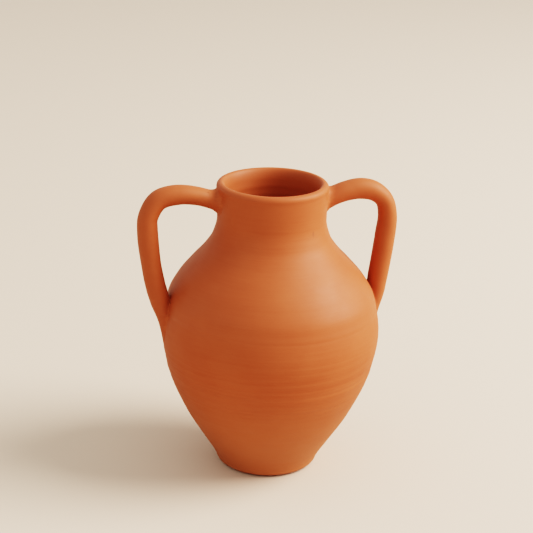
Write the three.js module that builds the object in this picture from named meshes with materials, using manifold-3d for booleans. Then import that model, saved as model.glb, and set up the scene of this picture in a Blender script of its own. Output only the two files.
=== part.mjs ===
// A two-handled terracotta amphora, free standing, thrown on the wheel in sections and luted together.
// Millimetres, +Z up. The origin is the centre of the flat base; the two handles stand in the XZ plane.
//
// The pieces are the ones a potter joins while the clay is leather-hard: a foot, two belly sections, a neck
// with its rolled lip, two pulled handles, and a coil of soft clay luted round each of the four handle roots.

import * as THREE from 'three';
import { mergeVertices } from 'three/addons/utils/BufferGeometryUtils.js';
import Module from 'manifold-3d';

const wasm = await Module();
wasm.setup();

// ---- Driving dimensions ----

const LIP_CREST = 300.5;            // height of the lip's crest above the table
const WALL = 6.4;                 // thickness of the thrown wall
const SLIP_GAP = 0.3;             // layer of slip between two joined pieces

const BASE_RADIUS = 42;           // flat underside of the foot
const BASE_EDGE_RISE = 7;         // height over which the foot's lower edge is rounded
const FOOT_TOP = 12;              // joint between the foot and the lower belly
const FLOOR_THICKNESS = 6;        // clay floor inside, above the foot
const FLOOR_RADIUS = 40;          // flat part of that floor
const FLOOR_CORNER_RISE = 6;      // height over which the floor turns up into the wall

const BELLY_JOINT = 169;          // joint between the lower and upper belly
const NECK_JOINT = 247;           // joint between the shoulder and the neck
const NECK_BORE = 45.8;           // inner radius of the neck
const BORE_BOTTOM = 262;          // height at which the neck's straight bore begins

const LIP_HEIGHT = 5;             // rise of the rolled lip above its widest line
const LIP_INNER_DROP = 13;        // fall of its inner slope from the crest to the bore
const LIP_RADIUS = 55.9;          // outer radius on that line

const HANDLE_HALF_WIDTH = 11;     // half width of a handle across its plane
const TAIL_TAPER_START = 7.5;     // half thickness below which a handle's tail also narrows

const LATHE_SEGMENTS = 48;
const EDGE_STEPS = 4;             // facets over the foot's rounded edge
const CORNER_STEPS = 3;           // facets over the corner of the inside floor
const LIP_STEPS = 8;              // facets over the rolled lip
const HANDLE_SIDES = 14;
const HANDLE_STEPS = 34;

// The outside of the vessel as [height, radius], from the foot's rounded edge to the underside of the lip.
const OUTLINE = [
  [BASE_EDGE_RISE, 52.4],         // top of the foot's rounded edge
  [14, 55.9],                     // soft corner between the foot and the belly
  [30, 65.9],
  [65, 86.9],
  [110, 104.9],
  [146, 110.3],                   // widest line of the belly
  [182, 104.6],
  [200, 95.2],
  [216, 82.1],
  [232, 67.7],                    // foot of the shoulder's curve into the neck
  [246, 58.9],
  [264, 54.7],                    // waist of the neck
  [292, 55.4],                    // underside of the lip
];

// Handle spines as [reach from the axis, height, half thickness]. The first station lies inside the neck
// and the last ones inside the belly wall, so that the root and the tail close against the vessel.
const LEFT_SPINE = [
  [49, 279.2, 9.9],               // root in the neck
  [62, 284, 8.7],                 // waist beside the root
  [76, 288.4, 9],
  [96.5, 290.5, 9.8],             // crest
  [115.1, 285.5, 10.2],
  [125, 269, 10],                 // outer bend
  [125.7, 256, 10.4],
  [122.4, 223, 9.9],
  [117.6, 197.5, 9.9],
  [112.6, 180, 9.8],              // belly contact begins
  [107.6, 164.3, 8.6],
  [105.2, 151, 7.4],              // pressed tail
  [103.2, 134, 5.8],
];
const RIGHT_SPINE = [
  [49, 278.2, 10.3],
  [62, 283.9, 9.5],
  [74, 288, 10.1],
  [89, 290.1, 10.5],
  [103.6, 286.8, 9.9],
  [114.7, 277, 9.2],
  [118.7, 261, 9.6],
  [117.3, 240, 10.2],
  [114.5, 216, 10.4],
  [111.8, 196, 10],
  [109.7, 180, 9.4],
  [106.5, 165, 8.3],
  [103.8, 151, 7],
  [101.8, 134, 5.6],
];

// ---- Materials ----

const TERRACOTTA = { color: 0xc2662f, roughness: 0.62, metalness: 0 };

const clay = () => new THREE.MeshStandardMaterial(TERRACOTTA);

// ---- Vessel wall ----

// A smooth curve through [position, value] stations that never overshoots between them (monotone cubic).
function monotoneCurve(stations) {
  const slopes = [];
  for (let i = 0; i + 1 < stations.length; i += 1) {
    const [x0, y0] = stations[i];
    const [x1, y1] = stations[i + 1];
    slopes.push((y1 - y0) / (x1 - x0));
  }
  const tangents = stations.map((_, i) => {
    if (i === 0) return slopes[0];
    if (i === slopes.length) return slopes[i - 1];
    if (slopes[i - 1] * slopes[i] <= 0) return 0;
    return (2 * slopes[i - 1] * slopes[i]) / (slopes[i - 1] + slopes[i]);
  });
  return (x) => {
    let i = 0;
    while (i < slopes.length - 1 && x > stations[i + 1][0]) i += 1;
    const [x0, y0] = stations[i];
    const [x1, y1] = stations[i + 1];
    const span = x1 - x0;
    const t = (x - x0) / span;
    return y0 * (1 + 2 * t) * (1 - t) ** 2
      + y1 * t ** 2 * (3 - 2 * t)
      + tangents[i] * span * t * (1 - t) ** 2
      - tangents[i + 1] * span * t ** 2 * (1 - t);
  };
}

const outerRadius = monotoneCurve(OUTLINE);

// How much longer a horizontal cut through the wall is than its true thickness.
function slant(z) {
  return Math.hypot(1, (outerRadius(z + 1) - outerRadius(z - 1)) / 2);
}

function innerRadius(z) {
  return z >= BORE_BOTTOM ? NECK_BORE : outerRadius(z) - WALL * slant(z);
}

// Values from first to last, both included, in equal steps.
function spread(first, last, steps) {
  return Array.from({ length: steps + 1 }, (_, i) => first + ((last - first) * i) / steps);
}

// The heights at which the faceted wall has a ring of edges.
const FOOT_LEVELS = [9.5, FOOT_TOP];
const LOWER_LEVELS = [...spread(FOOT_TOP + SLIP_GAP, 36, 3), ...spread(52, BELLY_JOINT, 8)];
const UPPER_LEVELS = spread(BELLY_JOINT + SLIP_GAP, NECK_JOINT, 9);
const NECK_LEVELS = [...spread(NECK_JOINT + SLIP_GAP, 264, 3), 278, 292];
const BORE_LEVELS = [NECK_LEVELS[0], 254, BORE_BOTTOM, 276];

const profilePoint = (radius, z) => new THREE.Vector2(radius, z);

const outerPoints = (levels, grow = 0) => (
  levels.map((z) => profilePoint(outerRadius(z) + grow * slant(z), z))
);
const innerPoints = (levels) => levels.map((z) => profilePoint(innerRadius(z), z)).reverse();

// The rolled lip in section, from its outer edge over the crest to the bore: two quarters of ellipses.
function lipPoints(grow = 0) {
  const half = (LIP_RADIUS - NECK_BORE) / 2;
  return spread(0, Math.PI, LIP_STEPS).map((angle) => {
    const fall = angle > Math.PI / 2 ? LIP_INNER_DROP : LIP_HEIGHT;
    return profilePoint(
      NECK_BORE + half + (half + grow) * Math.cos(angle),
      LIP_CREST + grow - (fall + grow) * (1 - Math.sin(angle)),
    );
  });
}

// LatheGeometry turns its profile round +Y, so the result is stood up on +Z.
function lathe(points) {
  return new THREE.LatheGeometry(points, LATHE_SEGMENTS).rotateX(Math.PI / 2);
}

// A thrown ring: up the outside and down the inside, closed on itself.
function thrownRing(outside, inside) {
  return lathe([...outside, ...inside, outside[0].clone()]);
}

function footGeometry() {
  const overhang = outerRadius(BASE_EDGE_RISE) - BASE_RADIUS;
  const roundedEdge = spread(0, Math.PI / 2, EDGE_STEPS).map((angle) => (
    profilePoint(BASE_RADIUS + overhang * Math.sin(angle), BASE_EDGE_RISE * (1 - Math.cos(angle)))
  ));
  return lathe([
    profilePoint(0, 0),
    ...roundedEdge,
    ...outerPoints(FOOT_LEVELS),
    profilePoint(0, FOOT_TOP),
  ]);
}

function lowerBellyGeometry() {
  const bottom = FOOT_TOP + SLIP_GAP;
  const floor = bottom + FLOOR_THICKNESS;
  const wallStart = floor + FLOOR_CORNER_RISE;
  const wallLevels = [...spread(wallStart, 52, 2), ...spread(72, BELLY_JOINT, 6)];
  const cornerWidth = innerRadius(wallStart) - FLOOR_RADIUS;
  const roundedCorner = spread(0, Math.PI / 2, CORNER_STEPS).slice(1).map((angle) => profilePoint(
    FLOOR_RADIUS + cornerWidth * Math.cos(angle),
    wallStart - FLOOR_CORNER_RISE * Math.sin(angle),
  ));
  return lathe([
    profilePoint(0, bottom),
    ...outerPoints(LOWER_LEVELS),
    ...innerPoints(wallLevels),
    ...roundedCorner,
    profilePoint(0, floor),
  ]);
}

function upperBellyGeometry() {
  return thrownRing(outerPoints(UPPER_LEVELS), innerPoints(UPPER_LEVELS));
}

function neckGeometry() {
  return thrownRing([...outerPoints(NECK_LEVELS), ...lipPoints()], innerPoints(BORE_LEVELS));
}

// The whole vessel filled in and grown by the slip layer, for trimming what is luted onto it.
function vesselEnvelope() {
  const outerHalfOfLip = lipPoints(SLIP_GAP).slice(0, LIP_STEPS / 2 + 1);
  return lathe([
    profilePoint(0, FOOT_LEVELS[0]),
    ...outerPoints([...FOOT_LEVELS, ...LOWER_LEVELS, ...UPPER_LEVELS, ...NECK_LEVELS], SLIP_GAP),
    ...outerHalfOfLip,
    profilePoint(0, LIP_CREST + SLIP_GAP),
  ]);
}

// ---- Handles and their luting ----

const none = () => 0;
const WHOLE_HANDLE = { from: 0, to: 1, steps: HANDLE_STEPS, grow: none, widen: none, sink: none };

// A solid of oval sections along the part of a spine between from and to. The spine lies in the XZ plane.
// grow(t) widens the section all round, widen(t) widens it across the plane only, and sink(t) moves it
// towards the vessel, for t from 0 to 1.
function ovalLoft(spine, options = {}) {
  const { from, to, steps, grow, widen, sink } = { ...WHOLE_HANDLE, ...options };
  const path = new THREE.CatmullRomCurve3(spine.map((p) => new THREE.Vector3(...p)), false, 'centripetal');
  const rings = spread(from, to, steps).map((u, i) => {
    const t = i / steps;
    const { x: reach, y: height, z: half } = path.getPointAt(u);
    const tangent = path.getTangentAt(u);
    const outward = new THREE.Vector3(-tangent.y, 0, tangent.x).normalize();
    const centre = new THREE.Vector3(reach, 0, height).addScaledVector(outward, -sink(t));
    const halfWidth = HANDLE_HALF_WIDTH * Math.min(1, half / TAIL_TAPER_START) + grow(t) + widen(t);
    return { centre, outward, halfThickness: half + grow(t), halfWidth };
  });
  const positions = [];
  for (const { centre, outward, halfThickness, halfWidth } of rings) {
    for (let side = 0; side < HANDLE_SIDES; side += 1) {
      const angle = (2 * Math.PI * side) / HANDLE_SIDES;
      const point = centre.clone().addScaledVector(outward, halfThickness * Math.cos(angle));
      point.y = halfWidth * Math.sin(angle);
      positions.push(...point.toArray());
    }
  }
  const startCentre = positions.length / 3;
  const endCentre = startCentre + 1;
  positions.push(...rings[0].centre.toArray(), ...rings[steps].centre.toArray());

  const faces = [];
  for (let side = 0; side < HANDLE_SIDES; side += 1) {
    const next = (side + 1) % HANDLE_SIDES;
    for (let step = 0; step < steps; step += 1) {
      const here = step * HANDLE_SIDES;
      const ahead = here + HANDLE_SIDES;
      faces.push(here + side, ahead + next, here + next);
      faces.push(here + side, ahead + side, ahead + next);
    }
    const lastRing = steps * HANDLE_SIDES;
    faces.push(startCentre, side, next);
    faces.push(endCentre, lastRing + next, lastRing + side);
  }
  const geometry = new THREE.BufferGeometry();
  geometry.setAttribute('position', new THREE.Float32BufferAttribute(positions, 3));
  geometry.setIndex(faces);
  return geometry;
}

function toSolid(geometry) {
  const bare = geometry.clone();
  bare.deleteAttribute('normal');
  bare.deleteAttribute('uv');
  const merged = mergeVertices(bare);
  return new wasm.Manifold(new wasm.Mesh({
    numProp: 3,
    vertProperties: new Float32Array(merged.attributes.position.array),
    triVerts: new Uint32Array(merged.index.array),
  }));
}

// Keeps the largest body of a cut solid, so that no loose crumb of clay is left beside it.
function toGeometry(solid) {
  const [largest] = solid.decompose().sort((a, b) => b.volume() - a.volume());
  const { vertProperties, triVerts } = largest.getMesh();
  const geometry = new THREE.BufferGeometry();
  geometry.setAttribute('position', new THREE.BufferAttribute(vertProperties, 3));
  geometry.setIndex(new THREE.BufferAttribute(triVerts, 1));
  geometry.computeVertexNormals();
  return geometry;
}

const vessel = toSolid(vesselEnvelope());

function handleGeometry(spine) {
  return toGeometry(toSolid(ovalLoft(spine)).subtract(vessel));
}

// What is luted round a handle stops one layer of slip short of the handle and of the vessel.
function lutingGeometry(spine, options) {
  const handle = toSolid(ovalLoft(spine, { grow: () => SLIP_GAP }));
  return toGeometry(toSolid(ovalLoft(spine, options)).subtract(handle).subtract(vessel));
}

// A collar that flares towards the neck.
const NECK_LUTING = {
  to: 0.085,
  steps: 6,
  grow: (t) => 1 + 5.5 * (1 - t) ** 2,
};

// A fillet along both sides of the tail: lower than the tail, wider than it, and set into the wall.
const SHOULDER_LUTING = {
  from: 0.74,
  steps: 12,
  grow: () => -1.5,
  widen: (t) => 1.5 + 4.5 * Math.sin(Math.PI * (0.1 + 0.9 * t)),
  sink: () => 4,
};

// ---- Assembly ----

const amphora = new THREE.Group();

function addPiece(parent, name, geometry) {
  const mesh = new THREE.Mesh(geometry, clay());
  mesh.name = name;
  parent.add(mesh);
}

addPiece(amphora, 'foot', footGeometry());
addPiece(amphora, 'lower_belly', lowerBellyGeometry());
addPiece(amphora, 'upper_belly', upperBellyGeometry());
addPiece(amphora, 'neck', neckGeometry());

for (const [side, spine, turn] of [['left', LEFT_SPINE, Math.PI], ['right', RIGHT_SPINE, 0]]) {
  const group = new THREE.Group();
  group.rotation.z = turn;
  addPiece(group, `${side}_handle`, handleGeometry(spine));
  addPiece(group, `${side}_neck_luting`, lutingGeometry(spine, NECK_LUTING));
  addPiece(group, `${side}_shoulder_luting`, lutingGeometry(spine, SHOULDER_LUTING));
  amphora.add(group);
}

export default amphora;
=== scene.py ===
"""A two-handled terracotta amphora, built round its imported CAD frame.

Every CAD node is replaced by a finer mesh of the same clay piece: thrown walls with throwing lines, a rolled
lip, pulled handles, and luting worked smooth between the handles and the wall. Lengths are in millimetres
until a mesh is made. +Z is up, and the handles stand in the XZ plane.
"""

import math

import bpy
import numpy as np
from mathutils import Matrix, Vector


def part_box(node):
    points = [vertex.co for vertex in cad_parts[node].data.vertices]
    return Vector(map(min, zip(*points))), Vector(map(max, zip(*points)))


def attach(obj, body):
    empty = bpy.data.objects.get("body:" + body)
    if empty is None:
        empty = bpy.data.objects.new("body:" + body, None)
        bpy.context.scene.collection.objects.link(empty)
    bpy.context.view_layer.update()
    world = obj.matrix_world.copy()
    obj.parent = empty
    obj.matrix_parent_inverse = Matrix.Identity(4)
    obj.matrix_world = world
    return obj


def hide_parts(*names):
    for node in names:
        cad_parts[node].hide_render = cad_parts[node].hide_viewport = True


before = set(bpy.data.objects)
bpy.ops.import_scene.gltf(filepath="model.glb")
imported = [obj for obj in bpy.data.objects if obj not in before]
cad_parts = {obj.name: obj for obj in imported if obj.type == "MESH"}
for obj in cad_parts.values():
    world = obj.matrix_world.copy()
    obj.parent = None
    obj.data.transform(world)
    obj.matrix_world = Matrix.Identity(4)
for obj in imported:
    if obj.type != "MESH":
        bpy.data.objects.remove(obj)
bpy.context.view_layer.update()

MM = 0.001


def node_height(node, top):
    """The lowest or highest level of a CAD node, in millimetres."""
    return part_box(node)[1 if top else 0][2] / MM


# ---- Driving dimensions, in millimetres ----

LIP_CREST = node_height("neck", top=True)
FOOT_JOINT = (node_height("foot", top=True) + node_height("lower_belly", top=False)) / 2
BELLY_JOINT = (node_height("lower_belly", top=True) + node_height("upper_belly", top=False)) / 2
NECK_JOINT = (node_height("upper_belly", top=True) + node_height("neck", top=False)) / 2

WALL = 6.4
BASE_RADIUS = 42
BASE_EDGE_RISE = 7
FLOOR_TOP = FOOT_JOINT + 6.2
FLOOR_RADIUS = 40
FLOOR_CORNER_RISE = 6
NECK_BORE = 45.8
BORE_BOTTOM = 262
BORE_BLEND = 14           # height over which the widening wall runs into the straight bore
LIP_HEIGHT = 5
LIP_INNER_DROP = 13       # how far the lip's soft inner slope reaches down
LIP_RADIUS = 55.9
LIP_LINE = LIP_CREST - LIP_HEIGHT
WALL_TOP = 292
BORE_TOP = LIP_CREST - LIP_INNER_DROP
HANDLE_HALF_WIDTH = 11
TAIL_TAPER_START = 7.5    # where a handle is half as thick as this, its width starts to narrow too
NECK_FILLETS = {"left": 7.2, "right": 5.4}
HANDLE_SINK = 1.5         # how far a handle runs into the wall
LUTING_EDGE_SINK = 0.06   # the luting's thin edge dips under the surface, so that it leaves no step
LUTING_BACK_SINK = 1.2
LUTING_GUIDE = 0.4        # how far along its reach the luting stays close to what it is tangent to

OUTLINE = np.array([
    (BASE_EDGE_RISE, 52.4), (14, 55.9), (30, 65.9), (65, 86.9), (110, 104.9), (146, 110.3), (182, 104.6),
    (200, 95.2), (216, 82.1), (232, 67.7), (246, 58.9), (264, 54.7), (WALL_TOP, 55.4),
])
LEFT_SPINE = np.array([
    (49, 279.2, 9.9), (62, 284, 8.7), (76, 288.4, 9), (96.5, 290.5, 9.8), (115.1, 285.5, 10.2),
    (125, 269, 10), (125.7, 256, 10.4), (122.4, 223, 9.9), (117.6, 197.5, 9.9), (112.6, 180, 9.8),
    (107.6, 164.3, 8.6), (105.2, 151, 7.4), (103.2, 134, 5.8),
])
RIGHT_SPINE = np.array([
    (49, 278.2, 10.3), (62, 283.9, 9.5), (74, 288, 10.1), (89, 290.1, 10.5), (103.6, 286.8, 9.9),
    (114.7, 277, 9.2), (118.7, 261, 9.6), (117.3, 240, 10.2), (114.5, 216, 10.4), (111.8, 196, 10),
    (109.7, 180, 9.4), (106.5, 165, 8.3), (103.8, 151, 7), (101.8, 134, 5.6),
])

AROUND = 240          # quads round the vessel
RING_STEP = 0.8       # height of one quad on the outside
INSIDE_STEP = 1.6
NECK_STEP = 0.7
BORE_STEP = 1.4
MIDDLE_RADIUS = 1.5   # the smallest ring of a disc; a fan of triangles fills it
HANDLE_AROUND = 64
HANDLE_ALONG = 240
LUTING_ACROSS = 14


# ---- Smooth functions ----

def ease(t):
    """Runs from 0 to 1 as t does, level at both ends."""
    return t * t * (3 - 2 * t)


def monotone_curve(stations):
    """A smooth function through (position, value) stations that never overshoots between them."""
    x, y = stations[:, 0], stations[:, 1]
    slopes = np.diff(y) / np.diff(x)
    product = slopes[:-1] * slopes[1:]
    total = slopes[:-1] + slopes[1:]
    inner = np.where(product > 0, 2 * product / np.where(total == 0, 1, total), 0)
    tangents = np.concatenate([slopes[:1], inner, slopes[-1:]])

    def value(at):
        at = np.asarray(at, float)
        i = np.clip(np.searchsorted(x, at, side="right") - 1, 0, len(slopes) - 1)
        span = x[i + 1] - x[i]
        t = (at - x[i]) / span
        return (
            y[i] * (1 + 2 * t) * (1 - t) ** 2
            + y[i + 1] * t ** 2 * (3 - 2 * t)
            + tangents[i] * span * t * (1 - t) ** 2
            - tangents[i + 1] * span * t ** 2 * (1 - t)
        )

    return value


def smooth_noise(seed, spacing, length=400):
    """A seeded, smooth, random function of one length, between about -1 and 1."""
    values = np.random.default_rng(seed).uniform(-1, 1, int(length / spacing) + 4)
    knots = np.arange(len(values)) * spacing - spacing

    def value(at):
        u = (np.asarray(at, float) - knots[0]) / spacing
        i = np.clip(np.floor(u).astype(int), 0, len(values) - 2)
        t = ease(np.clip(u - i, 0, 1))
        return values[i] * (1 - t) + values[i + 1] * t

    return value


def bump(at, centre, width):
    """A smooth bump of height 1."""
    return np.exp(-(((at - centre) / width) ** 2))


# ---- The vessel's surface ----

outline_radius = monotone_curve(OUTLINE)
broad_ridges = smooth_noise(seed=3, spacing=3.4)
fine_ridges = smooth_noise(seed=11, spacing=1.7)
turn_of_ridges = smooth_noise(seed=5, spacing=40)


# Where the throwing lines are strong, as (height of a line, level of the band, half its width).
RIDGE_BANDS = ((0.30, 112, 27), (0.05, 55, 25), (0.035, 262, 24))
FAINTEST_RIDGE = 0.02


def drift(z):
    """How far the turned wall stands out of true towards +X, as hand-thrown walls do."""
    return 0.7 * bump(z, 150, 50) - 1.2 * ease(np.clip((z - 190) / 55, 0, 1))


def throwing_lines(phi, z):
    """Height of the shallow lines left by fingers and rib, strongest on the lower belly."""
    level = z + 0.7 * np.sin(phi + 0.8) + 0.25 * np.sin(3 * phi)
    strength = sum((height * bump(z, band, width) for height, band, width in RIDGE_BANDS), FAINTEST_RIDGE)
    strength = strength * (0.75 + 0.25 * np.cos(phi - 3 * turn_of_ridges(z)))
    seam = -0.12 * bump(level, BELLY_JOINT, 1.3) + 0.07 * bump(level, BELLY_JOINT + 3.2, 1.8)
    return strength * (broad_ridges(level) + 0.4 * fine_ridges(level)) + seam


def lip_section(angle):
    """Radius and height on the rolled lip: angle 0 is its outer edge, pi/2 its crest, and pi the bore."""
    half = (LIP_RADIUS - NECK_BORE) / 2
    drop = np.where(angle > np.pi / 2, LIP_INNER_DROP, LIP_HEIGHT)
    return NECK_BORE + half * (1 + np.cos(angle)), LIP_CREST - drop * (1 - np.sin(angle))


def outer_radius(z):
    """Radius of the outside at a height, from the foot's rounded edge to the lip's crest."""
    z = np.asarray(z, float)
    overhang = outline_radius(BASE_EDGE_RISE) - BASE_RADIUS
    edge = 1 - np.clip(z / BASE_EDGE_RISE, 0, 1)
    foot = BASE_RADIUS + overhang * np.sqrt(1 - edge ** 2)
    rise = np.clip((z - LIP_LINE) / LIP_HEIGHT, 0, 1)
    lip = lip_section(np.arcsin(rise))[0]
    wall = outline_radius(np.clip(z, BASE_EDGE_RISE, WALL_TOP))
    under_lip = ease(np.clip((z - WALL_TOP) / (LIP_LINE - WALL_TOP), 0, 1))
    wall = wall + (LIP_RADIUS - outline_radius(WALL_TOP)) * under_lip
    return np.where(z < BASE_EDGE_RISE, foot, np.where(z > LIP_LINE, lip, wall))


def slant(z):
    """How much longer the wall is, measured level, than across its own thickness."""
    return np.hypot(1, (outline_radius(z + 1) - outline_radius(z - 1)) / 2)


def inner_radius(z):
    """Radius of the inside, before its grooves: the wall's thickness in from the outline, then the bore."""
    z = np.asarray(z, float)
    wall = outline_radius(np.clip(z, BASE_EDGE_RISE, WALL_TOP)) - WALL * slant(np.clip(z, 5, WALL_TOP - 1))
    blend = ease(np.clip((z - BORE_BOTTOM + BORE_BLEND) / BORE_BLEND, 0, 1))
    return wall * (1 - blend) + NECK_BORE * blend


def out_of_round(phi, z):
    """Slow unevenness of the wall round its turn."""
    return 0.22 * np.cos(2 * phi + 0.6 + z / 90) + 0.12 * np.cos(3 * phi - z / 60)


def surface_radius(phi, z):
    """Radius of the outside with its unevenness, which fades out at the foot and at the lip."""
    fade = np.clip(z / 12, 0, 1) * np.clip((LIP_LINE + 1 - z) / 5, 0, 1)
    return outer_radius(z) + fade * throwing_lines(phi, z) + np.clip(z / 20, 0, 1) * out_of_round(phi, z)


def surface_point(phi, z):
    radius = surface_radius(phi, z)
    return np.stack([drift(z) + radius * np.cos(phi), radius * np.sin(phi), z + 0 * phi], axis=-1)


def to_surface(points):
    """The given points moved radially onto the outside of the vessel."""
    x, y, z = points[..., 0], points[..., 1], points[..., 2]
    return surface_point(np.arctan2(y, x - drift(z)), z)


def height_over_surface(points):
    """How far the given points lie outside the vessel, measured level."""
    x, y, z = points[..., 0], points[..., 1], points[..., 2]
    phi = np.arctan2(y, x - drift(z))
    return np.hypot(x - drift(z), y) - surface_radius(phi, np.clip(z, 0, LIP_CREST))


def surface_normal(points):
    x, y, z = points[..., 0], points[..., 1], points[..., 2]
    phi = np.arctan2(y, x - drift(z))
    slope = outer_radius(z + 0.5) - outer_radius(z - 0.5)
    normal = np.stack([np.cos(phi), np.sin(phi), -slope], axis=-1)
    return normal / np.linalg.norm(normal, axis=-1, keepdims=True)


# ---- Mesh making ----

def make_mesh(name, vertices, faces, sharp_angle=35):
    mesh = bpy.data.meshes.new(name)
    mesh.from_pydata((np.asarray(vertices) * MM).tolist(), [], faces)
    mesh.update()
    piece = bpy.data.objects.new(name, mesh)
    bpy.context.scene.collection.objects.link(piece)
    mesh.shade_smooth()
    mesh.set_sharp_from_angle(angle=math.radians(sharp_angle))
    return piece


def grid_faces(rows, columns, close_rows=False):
    """Quads of a grid whose columns run round; rows also close on themselves when asked."""
    faces = []
    for row in range(rows if close_rows else rows - 1):
        here, ahead = row * columns, ((row + 1) % rows) * columns
        for column in range(columns):
            beside = (column + 1) % columns
            faces.append((here + column, here + beside, ahead + beside, ahead + column))
    return faces


def turned_piece(name, rings, closed):
    """A turned clay piece from rings of points. It closes on itself, or else with a fan at each end."""
    rings = np.array(rings)
    rows, columns = rings.shape[:2]
    faces = grid_faces(rows, columns, close_rows=closed)
    vertices = rings.reshape(-1, 3)
    if not closed:
        first, last = len(vertices), len(vertices) + 1
        vertices = np.vstack([vertices, rings[0].mean(axis=0), rings[-1].mean(axis=0)])
        top = (rows - 1) * columns
        for column in range(columns):
            beside = (column + 1) % columns
            faces.append((first, beside, column))
            faces.append((last, top + column, top + beside))
    return make_mesh(name, vertices, faces)


PHI = np.arange(AROUND) * 2 * np.pi / AROUND


def levels(bottom, top, step=RING_STEP):
    """Heights from bottom to top, with a close step at each end so that joined pieces shade as one."""
    close = 0.06
    between = np.linspace(bottom, top, max(2, round((top - bottom) / step)) + 1)[1:-1]
    return np.concatenate([[bottom, bottom + close], between, [top - close, top]])


def outer_ring(z):
    return surface_point(PHI, np.full(AROUND, float(z)))


inner_grooves = smooth_noise(seed=21, spacing=4.5)
GROOVE_DEPTH = 0.5
GROOVE_FADE = 12          # the grooves fade out over this height below the lip


def inner_ring(z):
    """A ring of the inside, with the deeper grooves that nobody smooths."""
    level = z + 1.6 * np.sin(PHI - 1.1)
    depth = GROOVE_DEPTH * min(1, max(0, (BORE_TOP - z) / GROOVE_FADE))
    radius = inner_radius(np.full(AROUND, float(z))) + depth * (inner_grooves(level) - 0.4)
    return np.stack([drift(z) + radius * np.cos(PHI), radius * np.sin(PHI), np.full(AROUND, z)], axis=-1)


def flat_ring(radius, heights):
    return np.stack([radius * np.cos(PHI), radius * np.sin(PHI), heights + 0 * PHI], axis=-1)


# ---- Vessel pieces ----

def make_foot():
    """A solid turned disc. Its underside keeps the shallow shell-like arcs of the cutting wire."""
    arc_centre, arc_spacing, arc_height, plain_edge = 70, 3.6, 0.28, 6
    rings = []
    for radius in np.linspace(MIDDLE_RADIUS, BASE_RADIUS, 46):
        across = radius * np.cos(PHI - 0.5)
        along = radius * np.sin(PHI - 0.5)
        pull = np.hypot(across + arc_centre, along) / arc_spacing
        edge = np.clip((BASE_RADIUS - radius) / plain_edge, 0, 1)
        rings.append(flat_ring(radius, arc_height * edge * (0.5 + 0.5 * np.sin(2 * np.pi * pull))))
    for angle in np.linspace(0.06, np.pi / 2, 10)[:-1]:
        rings.append(outer_ring(BASE_EDGE_RISE * (1 - np.cos(angle))))
    rings += [outer_ring(z) for z in levels(BASE_EDGE_RISE, FOOT_JOINT)]
    rings.append(flat_ring(2.0, FOOT_JOINT))
    return turned_piece("foot_clay", rings, closed=False)


def make_lower_belly():
    """The lower half, outside first, then down the inside and in over the floor with its faint spiral."""
    rings = [flat_ring(2.0, FOOT_JOINT)]
    rings += [outer_ring(z) for z in levels(FOOT_JOINT, BELLY_JOINT)]
    wall_start = FLOOR_TOP + FLOOR_CORNER_RISE
    rings += [inner_ring(z) for z in levels(wall_start, BELLY_JOINT, INSIDE_STEP)[::-1]]
    corner = float(inner_radius(wall_start)) - FLOOR_RADIUS
    for angle in np.linspace(0, np.pi / 2, 8)[1:]:
        radius = FLOOR_RADIUS + corner * np.cos(angle)
        rings.append(flat_ring(radius, FLOOR_TOP + FLOOR_CORNER_RISE * (1 - np.sin(angle))))
    for radius in np.linspace(FLOOR_RADIUS, MIDDLE_RADIUS, 30)[1:]:
        swirl = 0.5 * np.sin(PHI + radius / 2.6) * min(1, (FLOOR_RADIUS - radius) / 8)
        rings.append(flat_ring(radius, FLOOR_TOP + swirl * min(1, radius / 6)))
    return turned_piece("lower_belly_clay", rings, closed=False)


def make_upper_belly():
    rings = [outer_ring(z) for z in levels(BELLY_JOINT, NECK_JOINT)]
    rings += [inner_ring(z) for z in levels(BELLY_JOINT, NECK_JOINT, INSIDE_STEP)[::-1]]
    return turned_piece("upper_belly_clay", rings, closed=True)


def make_neck():
    """The neck and the lip rolled from it. The lip's crest is a little uneven, as a finger leaves it."""
    rings = [outer_ring(z) for z in levels(NECK_JOINT, LIP_LINE, NECK_STEP)]
    lean = [drift(LIP_LINE), 0, 0]
    uneven = outer_ring(LIP_LINE) - flat_ring(LIP_RADIUS, LIP_LINE) - lean
    for angle in np.linspace(0, np.pi, 28)[1:-1]:
        radius, z = lip_section(angle)
        sway = 0.3 * math.sin(angle) * (np.sin(PHI * 2 + 1) - 1) / 2
        rings.append(flat_ring(radius, z + sway) + lean + (1 - angle / np.pi) * uneven * [1, 1, 0])
    rings += [inner_ring(z) for z in levels(NECK_JOINT, BORE_TOP, BORE_STEP)[::-1]]
    return turned_piece("neck_clay", rings, closed=True)


# ---- Handles and luting ----

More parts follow.
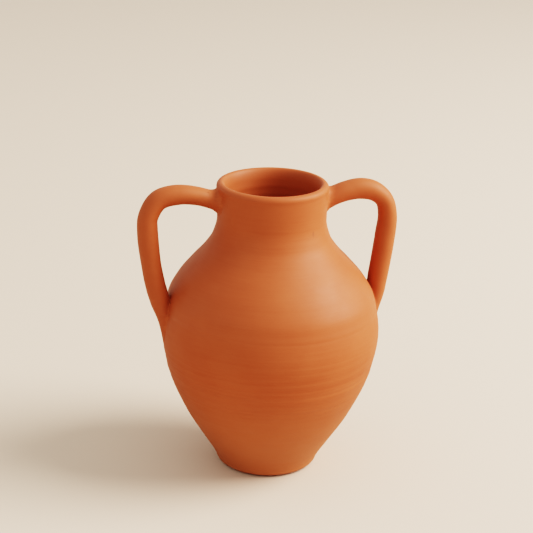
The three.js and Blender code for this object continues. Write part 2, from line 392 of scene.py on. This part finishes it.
def spine_curve(spine):
    """Samples of a centripetal Catmull-Rom curve on the spine: arc lengths, and (reach, height, half)."""
    points = np.vstack([2 * spine[0] - spine[1], spine, 2 * spine[-1] - spine[-2]])
    samples = []
    for p0, p1, p2, p3 in zip(points, points[1:], points[2:], points[3:]):
        knots = np.cumsum([0] + [math.sqrt(np.linalg.norm(b - a)) for a, b in ((p0, p1), (p1, p2), (p2, p3))])
        t0, t1, t2, t3 = knots
        for t in np.linspace(t1, t2, 60, endpoint=False):
            a1 = ((t1 - t) * p0 + (t - t0) * p1) / (t1 - t0)
            a2 = ((t2 - t) * p1 + (t - t1) * p2) / (t2 - t1)
            a3 = ((t3 - t) * p2 + (t - t2) * p3) / (t3 - t2)
            b1 = ((t2 - t) * a1 + (t - t0) * a2) / (t2 - t0)
            b2 = ((t3 - t) * a2 + (t - t1) * a3) / (t3 - t1)
            samples.append(((t2 - t) * b1 + (t - t1) * b2) / (t2 - t1))
    samples = np.array(samples + [spine[-1]])
    # A light smoothing takes the last kinks out of the curvature.
    for _ in range(60):
        samples[1:-1] = (samples[:-2] + 2 * samples[1:-1] + samples[2:]) / 4
    arc = np.concatenate([[0], np.cumsum(np.linalg.norm(np.diff(samples[:, :2], axis=0), axis=1))])
    return arc, samples


class Handle:
    """A pulled handle of oval section. turn is 1 for the one towards +X and -1 for the one towards -X."""

    def __init__(self, side, spine, turn, seed):
        self.side, self.turn = side, turn
        self.arc, self.samples = spine_curve(spine)
        self.length = self.arc[-1]
        self.tangents = np.gradient(self.samples[:, :2], self.arc, axis=0)
        self.theta = np.arange(HANDLE_AROUND) * 2 * np.pi / HANDLE_AROUND
        self.swell = smooth_noise(seed, spacing=17)
        self.facet = smooth_noise(seed + 1, spacing=9)
        self.top = self.meeting(upper=True)
        self.bottom = self.meeting(upper=False)

    def point(self, theta, s):
        """The surface at angle theta round the section (0 faces away from the vessel) and arc length s."""
        reach, height, half = (np.interp(s, self.arc, self.samples[:, i]) for i in range(3))
        tx, tz = (np.interp(s, self.arc, self.tangents[:, i]) for i in range(2))
        norm = np.hypot(tx, tz)
        out_x, out_z = -tz / norm, tx / norm
        uneven = 0.16 * self.swell(s) + 0.10 * np.sin(2 * theta + 5 * self.facet(s)) * self.facet(s + 60)
        thickness = (half + uneven) * np.cos(theta)
        width = (HANDLE_HALF_WIDTH * np.minimum(1, half / TAIL_TAPER_START) + uneven) * np.sin(theta)
        x, y, z = reach + thickness * out_x, width, height + thickness * out_z
        return np.stack([self.turn * x, self.turn * y, z], axis=-1)

    def meeting(self, upper):
        """Where each line along the handle enters the vessel, as an arc length for each angle."""
        along = np.linspace(self.length / 2, 0 if upper else self.length, 1600)
        result = []
        for theta in self.theta:
            over = height_over_surface(self.point(theta, along))
            inside = np.nonzero(over < 0)[0]
            k = inside[0] if len(inside) else len(along) - 1
            part = over[k - 1] / (over[k - 1] - over[k])
            result.append(along[k - 1] + part * (along[k] - along[k - 1]))
        result = np.array(result)
        for _ in range(2):
            result = (np.roll(result, 1) + 2 * result + np.roll(result, -1)) / 4
        return result

    def make(self):
        """The handle runs a little way into the wall at both ends and is closed there."""
        rings = []
        for u in np.linspace(0, 1, HANDLE_ALONG):
            bottom = np.minimum(self.bottom + HANDLE_SINK, self.length)
            s = (1 - u) * (self.top - HANDLE_SINK) + u * bottom
            rings.append(self.point(self.theta, s))
        return turned_piece(f"{self.side}_handle_clay", rings, closed=False)

    def make_luting(self, name, upper, on_handle, on_vessel, rough):
        """Clay worked into the corner between handle and vessel: tangent to both, with its back in the joint.

        on_handle and on_vessel give its reach along each of them for an angle round the handle.
        """
        theta = self.theta
        meet = self.top if upper else self.bottom
        away = 1 if upper else -1
        start = self.point(theta, meet + away * on_handle(theta))
        start_guide = self.point(theta, meet + away * LUTING_GUIDE * on_handle(theta))
        corner = to_surface(self.point(theta, meet))
        along = np.roll(corner, -1, axis=0) - np.roll(corner, 1, axis=0)
        normal = surface_normal(corner)
        outward = np.cross(along, normal)
        outward /= np.linalg.norm(outward, axis=1, keepdims=True)
        centre = corner.mean(axis=0)
        if np.sum((corner - centre) * outward) < 0:
            outward = -outward
        end = corner + outward * on_vessel(theta)[:, None]
        for _ in range(6):
            end = (np.roll(end, 1, axis=0) + 2 * end + np.roll(end, -1, axis=0)) / 4
        end = to_surface(end)
        end_guide = to_surface(corner + (end - corner) * LUTING_GUIDE)
        end = end - LUTING_EDGE_SINK * surface_normal(end)
        rings = []
        for u in np.linspace(0, 1, LUTING_ACROSS):
            ring = (
                (1 - u) ** 3 * start
                + 3 * u * (1 - u) ** 2 * start_guide
                + 3 * u ** 2 * (1 - u) * end_guide
                + u ** 3 * end
            )
            smear = np.sin(np.pi * u) ** 2 * rough * np.sin(3 * theta + 4 * u) * np.cos(5 * theta - 3 * u + 1)
            rings.append(ring + smear[:, None] * normal)
        rings.append(corner - LUTING_BACK_SINK * normal)
        return turned_piece(name, rings, closed=True)


def inward(theta):
    """0 where a handle's section faces away from the vessel, 1 where it faces it."""
    return (1 - np.cos(theta)) / 2


def make_handle_pieces(side, spine, turn, seed):
    """One handle with its two lutings. The neck's is a fillet, the shoulder's mostly runs up the handle."""
    handle = Handle(side, spine, turn, seed)
    fillet = NECK_FILLETS[side]
    neck_luting = handle.make_luting(
        f"{side}_neck_luting_clay", upper=True, rough=0.5,
        on_handle=lambda theta: fillet * (1.6 - 0.4 * inward(theta)),
        on_vessel=lambda theta: fillet * (1 - 0.35 * inward(theta)),
    )
    shoulder_luting = handle.make_luting(
        f"{side}_shoulder_luting_clay", upper=False, rough=0.3,
        on_handle=lambda theta: 10 - 7.5 * inward(theta),
        on_vessel=lambda theta: 2.5 - 0.5 * inward(theta),
    )
    return handle.make(), neck_luting, shoulder_luting


# ---- Clay ----

class NodeBuilder:
    """Short calls for building a material's node tree."""

    def __init__(self, material):
        self.tree = material.node_tree
        self.tree.nodes.clear()

    def node(self, kind, inputs=None, **settings):
        made = self.tree.nodes.new(kind)
        for key, value in settings.items():
            setattr(made, key, value)
        for key, value in (inputs or {}).items():
            if isinstance(value, bpy.types.NodeSocket):
                self.tree.links.new(value, made.inputs[key])
            else:
                made.inputs[key].default_value = value
        return made

    def noise(self, vector, scale, detail=3.0, roughness=0.5):
        settings = {"Vector": vector, "Scale": scale, "Detail": detail, "Roughness": roughness}
        return self.node("ShaderNodeTexNoise", settings).outputs["Fac"]

    def stretch(self, vector, factors):
        made = self.node("ShaderNodeVectorMath", {0: vector, 1: factors}, operation="MULTIPLY")
        return made.outputs[0]

    def remap(self, value, low, high, to_low=0.0, to_high=1.0, **settings):
        inputs = {"Value": value, "From Min": low, "From Max": high, "To Min": to_low, "To Max": to_high}
        return self.node("ShaderNodeMapRange", inputs, **settings).outputs["Result"]

    def mix(self, factor, first, second):
        made = self.node("ShaderNodeMix", data_type="RGBA")
        for socket, value in zip([made.inputs[0], made.inputs[6], made.inputs[7]], [factor, first, second]):
            if isinstance(value, bpy.types.NodeSocket):
                self.tree.links.new(value, socket)
            else:
                socket.default_value = value
        return made.outputs[2]

    def maths(self, operation, first, second):
        return self.node("ShaderNodeMath", {0: first, 1: second}, operation=operation).outputs[0]


CLAY = (0.382, 0.099, 0.0385, 1)
CLAY_RED = (0.345, 0.080, 0.028, 1)
CLAY_PALE = (0.435, 0.126, 0.052, 1)
# Paler clay that paints in the light the floor bounces onto the foot and lower belly.
CLAY_PAINTED_BOUNCE = (0.425, 0.180, 0.090, 1)
GROG_DARK = (0.230, 0.065, 0.028, 1)

# Zones by height, as (where the effect begins, where it is full): reddish streaks from below and from above,
# and a paler foot, which is painted bounce light: the light the floor throws up, painted into the clay's
# colour.
STREAKS_FROM = (60, 95)
STREAKS_TO = (166, 130)
PAINTED_BOUNCE_ZONE = (120, 30)

# A dark fleck in the clay of the neck, right of its front. The stretch makes it a short upright mark.
FLECK_PLACE = (30.4, -46.8, 259.5)
FLECK_STRETCH = (1.0, 0.3, 0.4)


def make_clay(name, streaks, smear=0.0):
    """Fired, unglazed terracotta. streaks is how far it shows its turning, smear how far its finger marks."""
    material = bpy.data.materials.new(name)
    material.use_nodes = True
    n = NodeBuilder(material)
    in_mm = n.stretch(n.node("ShaderNodeTexCoord").outputs["Object"], (1 / MM, 1 / MM, 1 / MM))
    turned = n.stretch(in_mm, (0.010, 0.010, 0.21))
    fine_turned = n.stretch(in_mm, (0.030, 0.030, 1.1))

    band = n.remap(n.noise(turned, 1.0, detail=4, roughness=0.6), 0.42, 0.68)
    blotch = n.remap(n.noise(in_mm, 0.021, detail=3, roughness=0.55), 0.38, 0.66)
    lines = n.noise(fine_turned, 1.0, detail=3, roughness=0.6)
    grain = n.noise(in_mm, 1.3, detail=2, roughness=0.6)
    specks = n.remap(n.noise(in_mm, 0.85, detail=1), 0.70, 0.78)
    fingers = n.noise(n.stretch(in_mm, (0.13, 0.13, 0.24)), 1.0, detail=3, roughness=0.6)

    height = n.node("ShaderNodeSeparateXYZ", {0: in_mm}).outputs["Z"]
    on_lower_belly = n.maths(
        "MULTIPLY",
        n.remap(height, *STREAKS_FROM, interpolation_type="SMOOTHSTEP"),
        n.remap(height, *STREAKS_TO, interpolation_type="SMOOTHSTEP"),
    )
    below_joint = n.remap(height, BELLY_JOINT + 1.5, BELLY_JOINT - 1.5, interpolation_type="SMOOTHSTEP")
    band = n.maths("MULTIPLY", band, n.maths("ADD", n.maths("MULTIPLY", on_lower_belly, 0.75), 0.25))
    fleck = tuple(place * factor for place, factor in zip(FLECK_PLACE, FLECK_STRETCH))
    from_fleck = n.node(
        "ShaderNodeVectorMath", {0: n.stretch(in_mm, FLECK_STRETCH), 1: fleck}, operation="DISTANCE"
    ).outputs["Value"]

    colour = n.mix(n.maths("MULTIPLY", band, streaks), CLAY, CLAY_RED)
    colour = n.mix(n.maths("MULTIPLY", blotch, 0.35), colour, CLAY_PALE)
    # Painted bounce light: the clay turns paler towards the foot, standing in for light thrown up from the
    # floor.
    colour = n.mix(n.remap(height, *PAINTED_BOUNCE_ZONE, 0.0, 0.5), colour, CLAY_PAINTED_BOUNCE)
    colour = n.mix(n.remap(lines, 0.35, 0.70, 0.0, 0.28 * streaks + 0.02), colour, CLAY_PALE)
    colour = n.mix(n.remap(grain, 0.35, 0.65, 0.0, 0.10), colour, CLAY_RED)
    colour = n.mix(n.maths("MULTIPLY", specks, 0.25), colour, GROG_DARK)
    colour = n.mix(n.remap(from_fleck, 1.5, 0.5, 0.0, 0.75), colour, GROG_DARK)
    colour = n.mix(n.remap(fingers, 0.42, 0.60, 0.0, 0.5 * smear), colour, CLAY_PALE)

    roughness = n.remap(n.noise(in_mm, 0.05, detail=3), 0.3, 0.7, 0.53, 0.60)
    roughness = n.maths("ADD", roughness, n.maths("MULTIPLY", below_joint, 0.08))
    roughness = n.maths("ADD", roughness, 0.1 * smear)

    scratching = n.maths("ADD", n.maths("MULTIPLY", on_lower_belly, streaks), 1.1 * streaks)
    relief = n.maths("ADD", n.maths("MULTIPLY", lines, scratching), n.maths("MULTIPLY", grain, 0.5))
    relief = n.maths("ADD", relief, n.maths("MULTIPLY", fingers, 5 * smear))
    relief = n.node("ShaderNodeBump", {"Height": relief, "Strength": 0.45, "Distance": 0.00012})
    shader = n.node("ShaderNodeBsdfPrincipled", {
        "Base Color": colour,
        "Roughness": roughness,
        "IOR": 1.5,
        "Specular IOR Level": 0.32,
        "Normal": relief.outputs["Normal"],
    })
    n.node("ShaderNodeOutputMaterial", {"Surface": shader.outputs["BSDF"]})
    return material


# ---- Stage, camera and lights, in metres ----

CAMERA_DISTANCE = 1.5087
CAMERA_PITCH = 0.3448
CAMERA_AZIMUTH = math.radians(-13)
CAMERA_ROLL = 0.0285
CAMERA_LENS = 101.26
AIM_HEIGHT = 0.2112
AIM_LEFT = 0.0050
SENSOR_WIDTH = 36

STAGE_COLOUR = (0.642, 0.533, 0.438, 1)
STAGE_HALF_SIZE = 9.0


def make_floor():
    corners = [(x * STAGE_HALF_SIZE, y * STAGE_HALF_SIZE, 0) for x, y in ((-1, -1), (1, -1), (1, 1), (-1, 1))]
    mesh = bpy.data.meshes.new("floor")
    mesh.from_pydata(corners, [], [(0, 1, 2, 3)])
    floor = bpy.data.objects.new("floor", mesh)
    bpy.context.scene.collection.objects.link(floor)
    material = bpy.data.materials.new("floor_paint")
    material.use_nodes = True
    n = NodeBuilder(material)
    shader = n.node("ShaderNodeBsdfPrincipled", {
        "Base Color": STAGE_COLOUR, "Roughness": 0.8, "Specular IOR Level": 0.2,
    })
    n.node("ShaderNodeOutputMaterial", {"Surface": shader.outputs["BSDF"]})
    mesh.materials.append(material)


KEY_AZIMUTH = CAMERA_AZIMUTH
KEY_AIM_HEIGHT = 0.13
KEY_ELEVATION = math.radians(37)
KEY_DISTANCE = 3.8
KEY_WIDTH = 2.4
KEY_HEIGHT = 3.2
KEY_POWER = 244
KEY_COLOUR = (1.0, 0.925, 0.845)
FILL_COLOUR = (0.97, 0.925, 0.86, 1)
FILL_STRENGTH = 0.77


def make_key_light():
    """One soft light, straight to the right of the camera's view and a third of the way up."""
    target = Vector((0, 0, KEY_AIM_HEIGHT))
    level = math.cos(KEY_ELEVATION)
    away = Vector((level * math.cos(KEY_AZIMUTH), level * math.sin(KEY_AZIMUTH), math.sin(KEY_ELEVATION)))
    data = bpy.data.lights.new("key", "AREA")
    data.shape = "ELLIPSE"
    data.size, data.size_y = KEY_WIDTH, KEY_HEIGHT
    data.energy, data.color = KEY_POWER, KEY_COLOUR
    light = bpy.data.objects.new("key", data)
    light.location = target + away * KEY_DISTANCE
    light.rotation_mode = "QUATERNION"
    light.rotation_quaternion = (-away).to_track_quat("-Z", "Y")
    bpy.context.scene.collection.objects.link(light)


def make_world():
    """An even, warm surround fills the shadows."""
    world = bpy.data.worlds.new("studio")
    world.use_nodes = True
    background = world.node_tree.nodes["Background"]
    background.inputs["Color"].default_value = FILL_COLOUR
    background.inputs["Strength"].default_value = FILL_STRENGTH
    bpy.context.scene.world = world


def make_camera():
    """The camera looks at a point of the vessel's axis, moved a little to the left."""
    right = Vector((math.cos(CAMERA_AZIMUTH), math.sin(CAMERA_AZIMUTH), 0))
    level = Vector((-math.sin(CAMERA_AZIMUTH), math.cos(CAMERA_AZIMUTH), 0))
    forward = level * math.cos(CAMERA_PITCH) - Vector((0, 0, math.sin(CAMERA_PITCH)))
    on_axis = Vector((0, 0, AIM_HEIGHT))
    place = on_axis - forward * CAMERA_DISTANCE
    forward = (on_axis - right * AIM_LEFT - place).normalized()
    right = forward.cross(Vector((0, 0, 1))).normalized()
    up = right.cross(forward)
    rolled_right = right * math.cos(CAMERA_ROLL) + up * math.sin(CAMERA_ROLL)
    rolled_up = up * math.cos(CAMERA_ROLL) - right * math.sin(CAMERA_ROLL)
    data = bpy.data.cameras.new("camera")
    data.lens, data.sensor_width = CAMERA_LENS, SENSOR_WIDTH
    camera = bpy.data.objects.new("camera", data)
    axes = Matrix((rolled_right, rolled_up, -forward)).transposed().to_4x4()
    camera.matrix_world = Matrix.Translation(place) @ axes
    bpy.context.scene.collection.objects.link(camera)
    bpy.context.scene.camera = camera


# ---- Scene ----

make_camera()
make_floor()
make_world()
make_key_light()
bpy.context.scene.view_settings.view_transform = "Filmic"
bpy.context.scene.view_settings.look = "Very High Contrast"

thrown_clay = make_clay("thrown_clay", streaks=0.7)
pulled_clay = make_clay("pulled_clay", streaks=0.25, smear=0.15)
smeared_clay = make_clay("smeared_clay", streaks=0.4, smear=1.0)


def finish_piece(piece, node, material):
    piece.data.materials.append(material)
    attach(piece, "root")
    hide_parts(node)


finish_piece(make_foot(), "foot", thrown_clay)
finish_piece(make_lower_belly(), "lower_belly", thrown_clay)
finish_piece(make_upper_belly(), "upper_belly", thrown_clay)
finish_piece(make_neck(), "neck", thrown_clay)
for side, spine, turn, seed in (("left", LEFT_SPINE, -1, 31), ("right", RIGHT_SPINE, 1, 47)):
    handle, neck_luting, shoulder_luting = make_handle_pieces(side, spine, turn, seed)
    finish_piece(handle, f"{side}_handle", pulled_clay)
    finish_piece(neck_luting, f"{side}_neck_luting", smeared_clay)
    finish_piece(shoulder_luting, f"{side}_shoulder_luting", smeared_clay)
